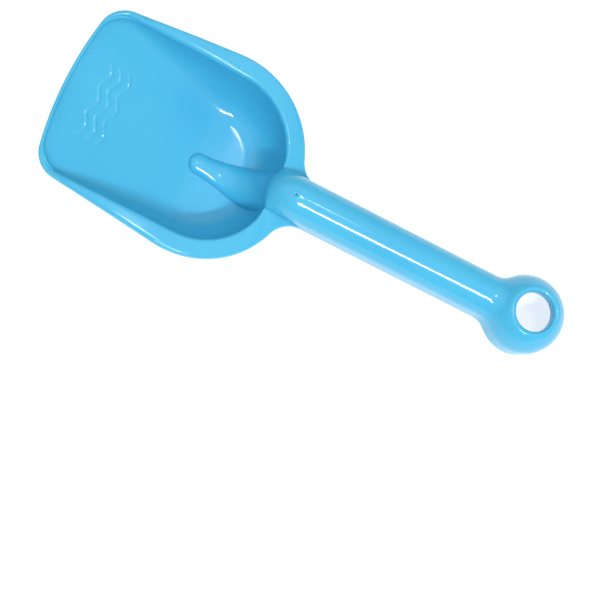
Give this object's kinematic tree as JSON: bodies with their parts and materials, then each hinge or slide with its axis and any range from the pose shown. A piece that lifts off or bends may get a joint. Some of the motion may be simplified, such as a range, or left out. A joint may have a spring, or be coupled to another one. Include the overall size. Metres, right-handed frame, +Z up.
{
  "type": "sand scoop",
  "caption": "Child's moulded plastic sand scoop: deep open-fronted bowl, hollow half-round grip that runs down into it as a rib, and domed hanging eye.",
  "frame": {"origin": "bottom centre of the overall box, on the ground the scoop rests on", "axes": "+X from the bowl's digging edge towards the hanging eye, +Y to the left seen from the grip, +Z up out of the bowl"},
  "size_m": [0.248, 0.0948, 0.0433],
  "materials": {
    "moulding": "glossy light blue polypropylene, as moulded"
  },
  "bodies": {
    "root": {"bowl": "moulding", "grip": "moulding", "hanging_eye": "moulding"}
  },
  "joints": []
}
